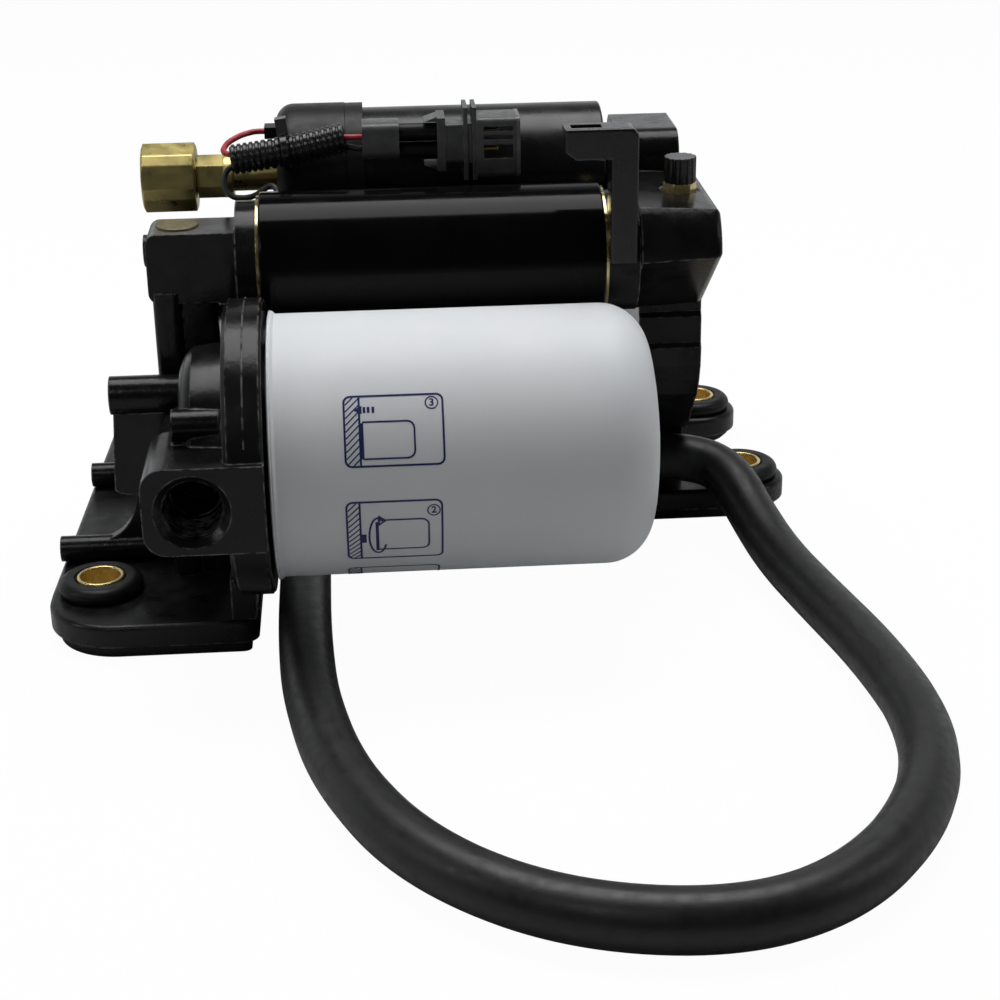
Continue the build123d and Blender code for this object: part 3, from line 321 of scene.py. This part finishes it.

# %% [markdown]
# ## The finishes
# The castings are aluminium with a baked black powder coat: it has the skin of an orange and
# thins out on sharp edges. Their edges, and those of the plastics, are also painted paler as a
# painted highlight. Rubber has a finer grain and its edges stay black. Brass is a plain
# metal whose shade wanders a little, and the filter has a smooth white enamel.

# %% Painted castings, cans and plastics
# The pale edge colours below are partly worn paint and partly a painted highlight.
finish("casting", (0.005, 0.005, 0.0055), (0.009, 0.009, 0.0095), (0.16, 0.27), 60, 650, 0.07,
       edge=1.0, edge_wear_and_highlight_colour=(0.4, 0.4, 0.4), specular=0.23)
finish("base", (0.004, 0.004, 0.004), (0.007, 0.007, 0.007), (0.26, 0.42), 60, 900, 0.02,
       edge=1.0, edge_wear_and_highlight_colour=(0.3, 0.3, 0.3), specular=0.3)
finish("can_gloss", (0.002, 0.002, 0.0022), (0.003, 0.003, 0.0035), (0.1, 0.15), 40, 300, 0.003,
       edge=0.3, specular=0.1)
finish("can_satin", (0.004, 0.004, 0.005), (0.007, 0.007, 0.008), (0.24, 0.32), 40, 900, 0.008,
       edge=0.3, specular=0.35)
finish("plastic_black", (0.005, 0.005, 0.006), (0.009, 0.009, 0.010), (0.18, 0.28), 150, 1600,
       0.015, edge=0.6, edge_wear_and_highlight_colour=(0.09, 0.09, 0.1))
finish("plastic_gray", (0.046, 0.048, 0.047), (0.066, 0.069, 0.067), (0.3, 0.44), 150, 1600, 0.015,
       edge=0.6, edge_wear_and_highlight_colour=(0.2, 0.2, 0.21))
finish("plastic_pale", (0.10, 0.10, 0.115), (0.14, 0.14, 0.155), (0.3, 0.4), 150, 1600, 0.01,
       edge=0.2)
print("painted finishes:", len(finishes))

# %% Rubber and wires
finish("rubber", (0.006, 0.006, 0.006), (0.010, 0.010, 0.010), (0.34, 0.46), 120, 1500, 0.015,
       edge=0.5, specular=0.2)
finish("hose_rubber", (0.007, 0.007, 0.007), (0.012, 0.012, 0.012), (0.36, 0.48), 120, 1300, 0.03,
       edge=0.3, specular=0.4)
hose_curve.materials.append(finishes["hose_rubber"])
finish("wire_red", (0.36, 0.02, 0.03), (0.45, 0.035, 0.045), (0.3, 0.42), 300, 2000, 0.01, edge=0.1)
finish("wire_black", (0.012, 0.012, 0.013), (0.02, 0.02, 0.02), (0.35, 0.5), 300, 2000, 0.01,
       edge=0.1)
print("with rubber and wires:", len(finishes))

# %% Metals
finish("brass", (0.46, 0.385, 0.145), (0.60, 0.50, 0.20), (0.26, 0.38), 60, 1400, 0.012, metal=1.0,
       edge=0.9)
finish("brass_dull", (0.13, 0.115, 0.07), (0.20, 0.175, 0.10), (0.4, 0.55), 200, 1400, 0.03,
       metal=1.0, edge=0.3)
finish("brass_bright", (0.85, 0.68, 0.3), (1.0, 0.82, 0.4), (0.2, 0.3), 90, 1400, 0.01, metal=0.8,
       edge=0.5)
finish("steel", (0.42, 0.42, 0.43), (0.58, 0.58, 0.58), (0.25, 0.4), 150, 1400, 0.02, metal=1.0,
       edge=0.2)
finish("zinc_yellow", (0.55, 0.42, 0.18), (0.78, 0.66, 0.36), (0.15, 0.3), 180, 1200, 0.01,
       metal=1.0, edge=0.2)
finish("cast_aluminium", (0.45, 0.45, 0.46), (0.62, 0.62, 0.63), (0.4, 0.55), 150, 900, 0.05,
       metal=1.0, edge=0.3)
finish("laminations", (0.14, 0.14, 0.15), (0.24, 0.24, 0.25), (0.4, 0.5), 200, 1200, 0.02,
       metal=1.0, edge=0.2)
finish("copper", (0.55, 0.24, 0.12), (0.72, 0.36, 0.2), (0.25, 0.4), 300, 1500, 0.03, metal=1.0,
       edge=0.2)
finish("magnet", (0.05, 0.05, 0.055), (0.09, 0.09, 0.09), (0.5, 0.65), 200, 1200, 0.02, edge=0.2)
finish("carbon", (0.02, 0.02, 0.02), (0.035, 0.035, 0.035), (0.4, 0.6), 300, 1500, 0.02, edge=0.2)
print("with the metals and what is inside:", len(finishes))

# %% Filter enamel and print
finish("filter_white", (0.74, 0.765, 0.785), (0.77, 0.79, 0.81), (0.42, 0.5), 30, 250, 0.004,
       edge=0.3, specular=0.25)
# A paler white than the enamel: a painted highlight for the seam's bright line.
finish("seam_painted_highlight", (0.86, 0.88, 0.9), (0.95, 0.96, 0.98), (0.2, 0.3), 60, 500, 0.004, edge=0.1,
       specular=0.8)
finish("print_blue", (0.010, 0.018, 0.10), (0.014, 0.024, 0.13), (0.35, 0.45), 400, 2000, 0.005,
       edge=0.05)
print("finishes:", sorted(finishes))

# %% [markdown]
# ## Dress the solids
# Every solid of the frame already has its true shape, so it only trades its plain material for
# the finish that the record names for it. A few pieces look unlike others of their material: the
# plug is tarnished, the sleeves and the valve are bright, and the tie is black.

# %% Give each solid its finish
for entry in frame["record"]["subparts"]:
    solid = frame["nodes"][entry["node"]]
    coat = finishes[entry["material_slot"]]
    if not solid.material_slots:
        solid.data.materials.append(coat)
    for place in solid.material_slots:
        place.material = coat
special = {
    "housing_plug": "brass_dull",
    "cable_tie": "plastic_black",
    "valve_body": "brass_bright",
    **{node: "brass_bright" for node in frame["nodes"] if node.startswith("sleeve")},
}
for node, other in special.items():
    for place in frame["nodes"][node].material_slots:
        place.material = finishes[other]

# %% [markdown]
# ## From loose work to a piece
# Every shape that follows is made as bmesh work and then becomes a piece in the same way: it gets
# its mesh, its finish and the body that it rides. Creases sharper than 40 degrees stay sharp, the
# rest is smooth.

# %% Settling a piece
SHARP_ANGLE = math.radians(40)


def settle(work, name, body, node_finish, smooth=True):
    """Turn finished bmesh work into a piece that rides a body and wears a finish."""
    mesh = bpy.data.meshes.new(name)
    work.to_mesh(mesh)
    work.free()
    if smooth:
        mesh.shade_smooth()
        mesh.set_sharp_from_angle(angle=SHARP_ANGLE)
    mesh.materials.append(finishes[node_finish])
    piece = bpy.data.objects.new(name, mesh)
    bpy.context.scene.collection.objects.link(piece)
    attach(piece, body)
    return piece


# %% [markdown]
# ## Print on the filter
# The filter carries line art in dark blue: three framed pictures of how it is fitted, two of them
# with a circled number. Print could be an image wrapped on the can, but drawn bars stay sharp at
# any distance. Each bar is laid out flat, in millimetres along the can and round it, and cut
# across every 2 mm. A thin extrusion gives it body, and then the whole sheet is rolled onto the
# can.

# %% Drawing in the label's plane
BEND_STEP = 2
LINE_WIDTH = 0.7
FINE_WIDTH = 0.6
HATCH_WIDTH = 0.45
SHORTEST_HATCH = 0.4
PICTURE_CORNER_R = 2.2
FILTER_CORNER_R = 2.5
CORNER_STEPS = 4
CLOSING = 0.45
RING_R = 2.1
RING_WIDTH = 0.4


def bar(sheet, a, b, width):
    """A flat bar from a to b, cut across every 2 mm so that it can bend."""
    a, b = Vector((*a, 0)), Vector((*b, 0))
    run = b - a
    turn = Matrix.Rotation(math.atan2(run.y, run.x), 4, "Z")
    size = Matrix.Diagonal((run.length / 2, width / 2, 1, 1))
    place = Matrix.Translation((a + b) / 2) @ turn @ size
    cuts = max(1, round(run.length / BEND_STEP))
    across = max(1, round(width / BEND_STEP))
    bmesh.ops.create_grid(sheet, x_segments=cuts, y_segments=across, size=1, matrix=place)


def line(sheet, points, width=LINE_WIDTH):
    """Bars from point to point, a little longer than the steps so that corners close."""
    for a, b in zip(points, points[1:]):
        step = (Vector(b) - Vector(a)).normalized() * width * CLOSING
        bar(sheet, Vector(a) - step, Vector(b) + step, width)


def arc(middle, radius_x, radius_y, start, end, steps):
    """Points of an ellipse's arc, angles in degrees."""
    turns = [math.radians(start + (end - start) * i / steps) for i in range(steps + 1)]
    x, v = middle
    return [(x + radius_x * math.cos(t), v + radius_y * math.sin(t)) for t in turns]


def picture(sheet, left, right, low, high):
    """The frame of a picture: a rectangle with round corners."""
    r = PICTURE_CORNER_R
    points = []
    corners = ((right - r, high - r, 0), (left + r, high - r, 90), (left + r, low + r, 180),
               (right - r, low + r, 270))
    for x, v, start in corners:
        points += arc((x, v), r, r, start, start + 90, CORNER_STEPS)
    line(sheet, points + points[:1])


def hatch(sheet, left, right, low, high, step=2.3):
    """Slanting lines that fill a band, with its right edge drawn."""
    v = low - (right - left)
    while v < high:
        v += step
        start, end = (left, v), (right, v + right - left)
        if v < low:
            start = (left + low - v, low)
        if end[1] > high:
            end = (right - (end[1] - high), high)
        if end[0] - start[0] > SHORTEST_HATCH:
            bar(sheet, start, end, HATCH_WIDTH)
    bar(sheet, (right, low), (right, high), LINE_WIDTH)


def number(sheet, text, middle):
    """A bold digit in a ring."""
    letters = bpy.data.curves.new("digit", "FONT")
    letters.body = text
    letters.size = 3.6
    letters.offset = 0.08
    letters.align_x = "CENTER"
    letters.align_y = "CENTER"
    holder = bpy.data.objects.new("digit", letters)
    flat = bpy.data.meshes.new_from_object(holder)
    flat.transform(Matrix.Translation((*middle, 0)))
    sheet.from_mesh(flat)
    bpy.data.objects.remove(holder)
    bpy.data.meshes.remove(flat)
    line(sheet, arc(middle, RING_R, RING_R, 0, 360, 20), RING_WIDTH)


def small_filter(sheet, left, right, low, high):
    """The filter in a picture: from its left edge round two right corners and back."""
    r = FILTER_CORNER_R
    upper = arc((right - r, high - r), r, r, 90, 0, CORNER_STEPS)
    lower = arc((right - r, low + r), r, r, 0, -90, CORNER_STEPS)
    line(sheet, [(left, high), *upper, *lower, (left, low)], FINE_WIDTH)


print("drawing tools:", [f.__name__ for f in (bar, line, picture, hatch, number, small_filter)])

# %% The three pictures
sheet = bmesh.new()
picture(sheet, -35.0, -1.7, 9.0, 33.0)
hatch(sheet, -34.6, -29.9, 9.4, 32.6)
bar(sheet, (-29.2, 11.5), (-29.2, 23.7), 1.1)
small_filter(sheet, -28.7, -11.5, 11.5, 24.0)
arrow = [(-31.3, 28.2), (-29.3, 29.2), (-29.3, 27.2), (-31.3, 28.2), (-29.6, 28.2)]
line(sheet, arrow, FINE_WIDTH)
for x in (-28.2, -26.8, -25.2):
    bar(sheet, (x, 27.1), (x, 29.2), 0.9)
number(sheet, "3", (-5.4, 30.0))
picture(sheet, -35.5, -3.0, -31.0, -3.8)
hatch(sheet, -35.1, -31.0, -30.6, -4.2)
bar(sheet, (-29.9, -21.5), (-29.9, -17.4), 1.7)
bar(sheet, (-25.3, -26.0), (-25.3, -11.9), 1.1)
line(sheet, arc((-25.1, -18.9), 3.0, 8.6, 60, 330, 18))
line(sheet, [(-24.6, -9.6), (-22.4, -11.4), (-24.6, -13.2), (-24.6, -9.6)], FINE_WIDTH)
small_filter(sheet, -24.8, -7.6, -25.5, -11.2)
number(sheet, "2", (-5.8, -7.8))
picture(sheet, -35.8, -4.0, -62.0, -39.5)
hatch(sheet, -35.4, -31.4, -61.6, -39.9)
bmesh.ops.remove_doubles(sheet, verts=sheet.verts, dist=0.0005)
print("sheet with", len(sheet.faces), "flat faces")

# %% Roll the sheet onto the can
PRINT_R = 47.02
INK_HEIGHT = 0.06
FILTER_AXIS = (-80.5, 77.5)
raised = bmesh.ops.extrude_face_region(sheet, geom=sheet.faces[:])["geom"]
raised_points = [item for item in raised if isinstance(item, bmesh.types.BMVert)]
bmesh.ops.translate(sheet, verts=raised_points, vec=(0, 0, INK_HEIGHT))
for point in sheet.verts:
    x, round_the_can, height = point.co
    turn = round_the_can / PRINT_R
    reach = PRINT_R + height
    y, z = FILTER_AXIS[0] - reach * math.cos(turn), FILTER_AXIS[1] + reach * math.sin(turn)
    point.co = Vector((x, y, z)) * MM
bmesh.ops.recalc_face_normals(sheet, faces=sheet.faces)
filter_print = settle(sheet, "filter_print", "filter", "print_blue", smooth=False)
print("print with", len(filter_print.data.polygons), "faces")

# %% [markdown]
# ## The ribbed conduit
# The conduit is a ribbed plastic tube round the wires. It could be a smooth tube with a bump, but
# that would leave its outline smooth. Here rings of two sizes are set along its bent middle line
# and bridged from one to the next. A last row of smaller rings leads back inside, so the tube has
# a wall and a bore.

# %% Ribbed conduit
def bridge_rings(work, rings, segments):
    """A tube through rings of (place, direction, radius); the last ring joins the first."""
    loops = []
    for place, direction, radius in rings:
        turn = Vector(direction).to_track_quat("Z", "Y").to_matrix().to_4x4()
        made = bmesh.ops.create_circle(
            work, segments=segments, radius=radius, matrix=Matrix.Translation(place) @ turn
        )
        loops.append({edge for point in made["verts"] for edge in point.link_edges})
    for here, there in zip(loops, loops[1:] + loops[:1]):
        bmesh.ops.bridge_loops(work, edges=list(here | there))
    bmesh.ops.recalc_face_normals(work, faces=work.faces)


start = Vector((-74.6, -1.1, 162.8)) * MM
bend = Vector((-52.5, -1.1, 165.7)) * MM
end = Vector((-31.5, -1.8, 170.4)) * MM
BEND_FROM, BEND_TO = 0.3, 0.7
SOFTENED = 0.45


def along_conduit(t):
    """Place and direction on the middle line, t from 0 to 1: straight, a soft bend, straight."""
    soft_in = start.lerp(bend, 1 - SOFTENED)
    soft_out = bend.lerp(end, SOFTENED)
    if t < BEND_FROM:
        return start.lerp(soft_in, t / BEND_FROM), bend - start
    if t > BEND_TO:
        return soft_out.lerp(end, (t - BEND_TO) / (1 - BEND_TO)), end - bend
    k = (t - BEND_FROM) / (BEND_TO - BEND_FROM)
    place = soft_in.lerp(bend, k).lerp(bend.lerp(soft_out, k), k)
    return place, (bend - soft_in).lerp(soft_out - bend, k)


RIDGES = 18
VALLEY_R, RIDGE_R, BORE_R = 4.95 * MM, 5.7 * MM, 4.5 * MM
rings = []
for ridge in range(RIDGES):
    for part, radius in ((0.0, VALLEY_R), (0.2, VALLEY_R), (0.38, RIDGE_R), (0.82, RIDGE_R)):
        rings.append((*along_conduit((ridge + part) / RIDGES), radius))
rings.append((*along_conduit(1.0), VALLEY_R))
rings += [(*along_conduit(t), BORE_R) for t in (1.0, 0.75, 0.5, 0.25, 0.0)]
work = bmesh.new()
bridge_rings(work, rings, segments=28)
conduit = settle(work, "ribbed_conduit", "module", "plastic_black")
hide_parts("conduit")
print("conduit with", RIDGES, "ribs")

# %% [markdown]
# ## Threads
# The inlet port and the coupling nut have a thread inside. A texture of slanting lines would do
# from afar, but not when one looks into the bore. So the threads are real ridges: a small
# triangle is spun round the bore while it creeps forward by one pitch each turn.

# %% Threads
STEPS_PER_TURN = 36
RIDGE_TO_PITCH = 0.42


def thread(name, body, start, way, radius, height, pitch, turns, node_finish):
    """A helical ridge on the inside of a bore: start is the bore's mouth, way leads into it."""
    start, way = Vector(start) * MM, Vector(way)
    side = way.orthogonal().normalized()
    work = bmesh.new()
    face_turn = Matrix((side, way, side.cross(way))).transposed().to_4x4()
    place = Matrix.Translation(start + side * radius * MM + way * pitch * 0.5 * MM) @ face_turn
    size = Matrix.Diagonal((height * MM, pitch * RIDGE_TO_PITCH * MM, 1, 1))
    inwards = place @ size @ Matrix.Rotation(math.pi, 4, "Z")
    bmesh.ops.create_circle(work, cap_ends=True, segments=3, radius=1.0, matrix=inwards)
    bmesh.ops.spin(
        work,
        geom=work.verts[:] + work.edges[:] + work.faces[:],
        cent=start,
        axis=-way,
        dvec=way * pitch * MM / STEPS_PER_TURN,
        angle=2 * math.pi * turns,
        steps=turns * STEPS_PER_TURN,
    )
    bmesh.ops.recalc_face_normals(work, faces=work.faces)
    ridge = settle(work, name, body, node_finish)
    print(name, "with", len(ridge.data.polygons), "faces")


thread("port_thread", "module", (-86.7, -131.9, 75.3), (0, 1, 0), 10.55, 0.9, 1.8, 8, "casting")
thread("nut_thread", "coupling_nut", (-111.2, 29.5, 149.5), (1, 0, 0), 9.65, 0.75, 1.5, 7, "brass")

# %% [markdown]
# ## Fine raised lines
# Two thin lines are too fine for the solids: the parting line that the mould left on the flange,
# and the bright line along the filter's seam. They could be painted on, but a real ridge catches
# the light as the true one does; the seam's ridge is also painted a paler white than the enamel, as
# a painted highlight. Each is a small circle spun round the filter's axis, a part of the
# way for the first and the whole way for the second.

# %% Beads
BEAD_STEP = 2.5


def bead(name, body, x, radius, thick, first, last, node_finish):
    """A fine line round the filter's axis; degrees run from the back (0) over the top (90)."""
    whole = last - first == 360
    middle = Vector((x, *FILTER_AXIS)) * MM
    work = bmesh.new()
    bmesh.ops.create_circle(
        work, cap_ends=not whole, segments=8, radius=thick * MM,
        matrix=Matrix.Translation(middle + Vector((0, radius * MM, 0))),
    )
    turn = Matrix.Rotation(math.radians(first), 3, "X")
    bmesh.ops.rotate(work, verts=work.verts, cent=middle, matrix=turn)
    bmesh.ops.spin(
        work,
        geom=work.verts[:] + work.edges[:] + work.faces[:],
        cent=middle,
        axis=(1, 0, 0),
        angle=math.radians(last - first),
        steps=round((last - first) / BEAD_STEP),
        use_merge=whole,
    )
    bmesh.ops.remove_doubles(work, verts=work.verts, dist=0.001 * MM)
    bmesh.ops.recalc_face_normals(work, faces=work.faces)
    ridge = settle(work, name, body, node_finish)
    print(name, "with", len(ridge.data.polygons), "faces")


bead("parting_line", "module", -68.6, 53.0, 0.35, 40, 160, "casting")
# The seam's ridge is painted a paler white, as a painted highlight.
bead("seam_glint", "filter", -60.4, 48.0, 0.3, 0, 360, "seam_painted_highlight")

# %% [markdown]
# ## The connector's wire cover and rim
# The wires reach the connector through a small box that is hollow at its inner end, and the
# shell's open end has a pale rim. Both could be cut from solids, but both begin as the same
# thing, a box with its long edges rounded, so one helper makes them. The cover's end face is then
# inset and pushed in, and the rim is what stays when a thin box loses both ends and gets a wall.

# %% Rounded boxes
def rounded_box(size, r, steps):
    """Work with one box whose edges along X are rounded, in millimetres."""
    work = bmesh.new()
    bmesh.ops.create_cube(work, size=1.0, matrix=Matrix.Diagonal((*size, 1)))
    lengthwise = [e for e in work.edges if abs((e.verts[0].co - e.verts[1].co).x) > 1]
    bmesh.ops.bevel(work, geom=lengthwise, offset=r, offset_type="OFFSET", segments=steps,
                    profile=0.5, affect="EDGES", material=-1)
    return work


def settle_box(work, middle, name, node_finish):
    """Take a box in millimetres to its place on the module and settle it."""
    bmesh.ops.translate(work, verts=work.verts, vec=middle)
    bmesh.ops.scale(work, verts=work.verts, vec=(MM, MM, MM))
    return settle(work, name, "module", node_finish)


print("box tools:", [f.__name__ for f in (rounded_box, settle_box)])

# %% Wire cover of the connector
COVER_WALL = 0.9
MOUTH_DEPTH = 4.0
work = rounded_box((13.8, 14.0, 13.6), 3.0, 5)
open_end = max(work.faces, key=lambda f: f.calc_center_median().x)
bmesh.ops.inset_region(work, faces=[open_end], thickness=COVER_WALL)
pushed = bmesh.ops.extrude_discrete_faces(work, faces=[open_end])["faces"][0]
bmesh.ops.translate(work, verts=pushed.verts, vec=(-MOUTH_DEPTH, 0, 0))
cover = settle_box(work, (-18.2, -3.0, 169.8), "connector_hood", "plastic_gray")
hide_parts("connector_cover")
print("hood with", len(cover.data.polygons), "faces")

# %% Pale rim round the connector's open end
RIM_WALL = 0.6
work = rounded_box((1.4, 17.3, 22.7), 2.0, 4)
ends = [face for face in work.faces if abs(face.normal.x) > 0.9]
bmesh.ops.delete(work, geom=ends, context="FACES_ONLY")
bmesh.ops.recalc_face_normals(work, faces=work.faces)
bmesh.ops.solidify(work, geom=work.faces[:], thickness=RIM_WALL)
bmesh.ops.recalc_face_normals(work, faces=work.faces)
rim = settle_box(work, (33.35, -3.0, 166.9), "connector_rim", "plastic_pale")
print("rim", [round(v * 1000, 1) for v in rim.dimensions])
